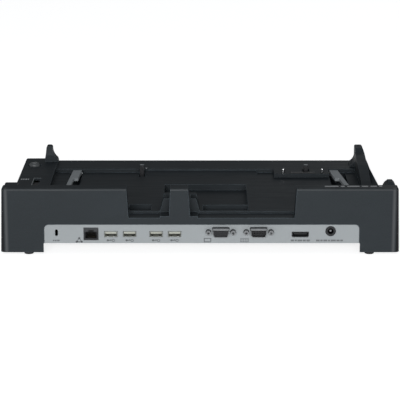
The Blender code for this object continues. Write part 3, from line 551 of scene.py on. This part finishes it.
def deck_marks():
    """Plain marks beside the lock slider, painted highlight lines along the rims of its slot, and bars on
    the rear wall's top.
    """
    caption_bars = ((-191.9, 1.8), (-189.6, 1.6), (-187.0, 2.4), (-184.6, 1.2))
    flat_marks("deck_marks", MARK, DECK, [(x, 122.5, width, 4.6) for x, width in caption_bars], 0.4)
    # painted highlight along the lock slot's left and far rims
    lines = [(-178.9, 110.5, 0.6, 31.0), (-175.2, 127.3, 7.8, 0.8)]
    flat_marks("slot_rim_highlight", PAD, DECK, lines, 0.2)
    start, gap, bars = 126.0, 2.3, []
    for width in (14.0, 4.0, 12.5, 6.5, 6.5, 3.0):
        bars.append((start + width / 2, 10.6, width, 3.4))
        start += width + gap
    flat_marks("wall_marks", MARK, TOP, bars, 0.8)


# ---- small real pieces ---------------------------------------------------------------------------------

def usb_details(i):
    """Four gilt contacts on a USB tongue, and the two sprung tabs in the shell."""
    low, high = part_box(f"usb_tongue_{i}")
    x = centre(f"usb_port_{i}").x
    bm = bmesh.new()
    for k in range(4):
        contact = bar(x + (k - 1.5) * 2.4 * MM, low.z - 0.08 * MM, 1.0 * MM, 0.16 * MM)
        add_prism(bm, contact, "Y", low.y + 0.6 * MM, high.y - 1 * MM)
    keep(bm, f"usb_contacts_{i}", GOLD)
    bm = bmesh.new()
    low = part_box(f"usb_port_{i}")[0]
    for dx in (-3.2, 3.2):
        tab = bar(x + dx * MM, low.z + 0.5 * MM, 2.0 * MM, 0.25 * MM)
        add_prism(bm, tab, "Y", low.y + 0.8 * MM, low.y + 6 * MM)
    keep(bm, f"usb_tabs_{i}", STEEL)


def lan_details():
    """The network jack's grey upper bezel and its eight spring contacts."""
    low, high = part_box("lan_jack")
    x = centre("lan_jack").x
    bezel = [bar(x, high.z - 0.9 * MM, high.x - low.x - 0.4 * MM, 1.6 * MM, 0.2 * MM)]
    bezel += [bar(x + dx * MM, high.z - 2.9 * MM, 3.6 * MM, 2.0 * MM, 0.3 * MM) for dx in (-5.0, 5.0)]
    bm = bmesh.new()
    for outline in bezel:
        add_prism(bm, outline, "Y", low.y - 0.12 * MM, low.y + 0.1 * MM)
    keep(bm, "lan_bezel", DARK)
    near, far, wire, half_width = low.y + 4.0 * MM, low.y + 11.0 * MM, 0.3 * MM, 0.22 * MM
    start, end = low.z + 1.9 * MM, low.z + 4.6 * MM
    bm = bmesh.new()
    for k in range(8):
        cx = x + (k - 3.5) * 1.02 * MM
        path = [(near, start), (far, end), (far, end + wire), (near, start + wire)]
        add_prism(bm, path, "X", cx - half_width, cx + half_width)
    keep(bm, "lan_contacts", DULL_GOLD)


def dock_contacts():
    """Two rows of gilt contacts in the docking connector's slots."""
    low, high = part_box("dock_connector_insert")
    count, length = 22, 22.6
    bm = bmesh.new()
    for offset in (1.6, 3.6):
        for k in range(count):
            x = low.x + (2.0 + k * length / (count - 1)) * MM
            contact = bar(x, low.y + offset * MM, 0.5 * MM, 0.7 * MM)
            add_prism(bm, contact, "Z", high.z - 1.1 * MM, high.z - 0.15 * MM)
    keep(bm, "dock_contacts", GOLD)


def shell_lips():
    """The folded upper lip of each display and serial shell."""
    for name in ("vga", "serial"):
        front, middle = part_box(f"{name}_shell")[0].y, centre(f"{name}_shell")
        bm = bmesh.new()
        outline = bar(middle.x, middle.z + 3.6 * MM, 15.4 * MM, 1.6 * MM, 0.5 * MM)
        add_prism(bm, outline, "Y", front - 0.15 * MM, front + 0.6 * MM)
        keep(bm, f"{name}_lip", DULL, bevel=0.1)


def strip_screw():
    """The small bright shoulder screw in the front strip, beside the left hook."""
    bm = bmesh.new()
    head = circle(-59.6 * MM, REAR + 181.0 * MM, 1.5 * MM)
    add_prism(bm, head, "Z", STRIP - 0.2 * MM, STRIP + 1.0 * MM)
    keep(bm, "strip_screw", BRIGHT, bevel=0.25)


def hook_caps():
    """A pale disc on the crown of each latch hook."""
    for word in ("left", "right"):
        low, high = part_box(f"latch_hook_{word}")
        x = (low.x + high.x) / 2
        near, far = low.y + 1.4 * MM, high.y - 2.0 * MM
        bm = bmesh.new()
        outline = bar(x, (near + far) / 2, 4.2 * MM, far - near, 0.5 * MM)
        add_prism(bm, outline, "Z", high.z - PRINT, high.z + PRINT)
        keep(bm, f"hook_crown_{word}", PAD, body="latch")


def grip_ribs():
    """Raised ribs across the release lever's thumb grip."""
    high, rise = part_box("release_lever")[1], 0.5 * MM
    bm = bmesh.new()
    for k in range(5):
        y = REAR + (24.0 + 2.6 * k) * MM
        z = high.z - rise - abs(k - 1.5) * 0.12 * MM
        outline = [(y, z), (y + 1.0 * MM, z), (y + 0.8 * MM, z + rise), (y + 0.2 * MM, z + rise)]
        add_prism(bm, outline, "X", high.x - 9.5 * MM, high.x - 4.5 * MM)
    keep(bm, "grip_ribs", CASE, body="release_lever", bevel=0.12)


def button_mark():
    """The power button's raised ring and stroke."""
    middle, top = centre("power_button"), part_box("power_button")[1].z
    low, high, line, radius, steps = top - 0.3 * MM, top + 0.1 * MM, 0.5 * MM, 2.1 * MM, 13
    turns = [math.radians(120 + 300 * i / steps) for i in range(steps + 1)]
    ring = [(middle.x + radius * math.cos(t), middle.y + radius * math.sin(t)) for t in turns]
    bm = bmesh.new()
    for a, b in zip(ring, ring[1:]):
        add_prism(bm, stroke(a, b, line), "Z", low, high)
    add_prism(bm, bar(middle.x, middle.y + 1.9 * MM, line, 2.2 * MM), "Z", low, high)
    keep(bm, "button_mark", MARK, body="power_button")


# ---- stage ---------------------------------------------------------------------------------------------

def floor():
    """A wide pale floor that glows like a lit table: evenly to the camera, and weakly beside the station."""
    s = Shader("floor_pale", (0.86, 0.865, 0.87), 0.9)
    s.bsdf.inputs["Emission Color"].default_value = (1.0, 1.0, 1.0, 1.0)
    squeezed = s.node("ShaderNodeVectorMath", operation="MULTIPLY")
    squeezed.inputs[1].default_value = (1.0, 0.12, 0.0)
    away = s.node("ShaderNodeVectorMath", operation="LENGTH")
    s.link(s.place, squeezed.inputs[0])
    s.link(squeezed.outputs["Vector"], away.inputs[0])
    near = s.ramp(away.outputs["Value"], 0.28, 0.6, 0.42, 0.05)
    seen = s.math("MULTIPLY", s.node("ShaderNodeLightPath").outputs["Is Camera Ray"], 0.8)
    s.link(s.math("MAXIMUM", near, seen), s.bsdf.inputs["Emission Strength"])
    s.bsdf.inputs["Specular IOR Level"].default_value = 0.0
    bm = bmesh.new()
    bmesh.ops.create_grid(bm, x_segments=1, y_segments=1, size=12.0)
    mesh_object(bm, "floor", s.material)


def lamp(name, place, size, power):
    """A soft rectangular lamp aimed at the station."""
    data = bpy.data.lights.new(name, "AREA")
    data.shape = "RECTANGLE"
    data.size, data.size_y = size
    data.energy = power
    made = bpy.data.objects.new(name, data)
    bpy.context.scene.collection.objects.link(made)
    made.location = place
    made.rotation_euler = (LAMP_TARGET - Vector(place)).to_track_quat("-Z", "Y").to_euler()


def world():
    """A plain studio: bright on the camera's side, dimmer opposite, and dark to the left and right."""
    made = bpy.data.worlds.new("studio")
    bpy.context.scene.world = made
    made.use_nodes = True
    tree = made.node_tree
    back = tree.nodes["Background"]
    back.inputs["Color"].default_value = (0.93, 0.97, 1.0, 1.0)

    def add(kind, operation=None):
        node = tree.nodes.new(kind)
        if operation:
            node.operation = operation
        return node

    def ramp(value, low, high, start, end):
        node = add("ShaderNodeMapRange")
        for socket, level in (("From Min", low), ("From Max", high), ("To Min", start), ("To Max", end)):
            node.inputs[socket].default_value = level
        tree.links.new(value, node.inputs["Value"])
        return node.outputs["Result"]

    split = add("ShaderNodeSeparateXYZ")
    tree.links.new(add("ShaderNodeTexCoord").outputs["Generated"], split.inputs["Vector"])
    sideways = add("ShaderNodeMath", "ABSOLUTE")
    tree.links.new(split.outputs["X"], sideways.inputs[0])
    strength = add("ShaderNodeMath", "MULTIPLY")
    tree.links.new(ramp(split.outputs["Y"], -1.0, 0.6, 0.3, 0.14), strength.inputs[0])
    tree.links.new(ramp(sideways.outputs[0], 0.35, 0.8, 1.0, 0.1), strength.inputs[1])
    tree.links.new(strength.outputs[0], back.inputs["Strength"])


def camera():
    """The camera behind the ports, looking slightly down at the middle of the port face."""
    data = bpy.data.cameras.new("camera")
    data.sensor_width = SENSOR
    data.lens = LENS
    data.clip_start = 0.05
    made = bpy.data.objects.new("camera", data)
    bpy.context.scene.collection.objects.link(made)
    aim = Vector((0.0, REAR, AIM_Z))
    made.location = aim - Vector((0.0, math.cos(PITCH), -math.sin(PITCH))) * DISTANCE
    made.rotation_euler = (math.radians(90.0) - PITCH, 0.0, 0.0)
    bpy.context.scene.camera = made


def main():
    for name in NODES:
        dress_node(name)
    port_marks()
    deck_marks()
    for i in range(1, 5):
        usb_details(i)
    lan_details()
    dock_contacts()
    shell_lips()
    strip_screw()
    hook_caps()
    grip_ribs()
    button_mark()
    floor()
    for name, (place, size, power) in LAMPS.items():
        lamp(name, place, size, power)
    world()
    camera()
    bpy.context.scene.view_settings.view_transform = "Standard"


main()
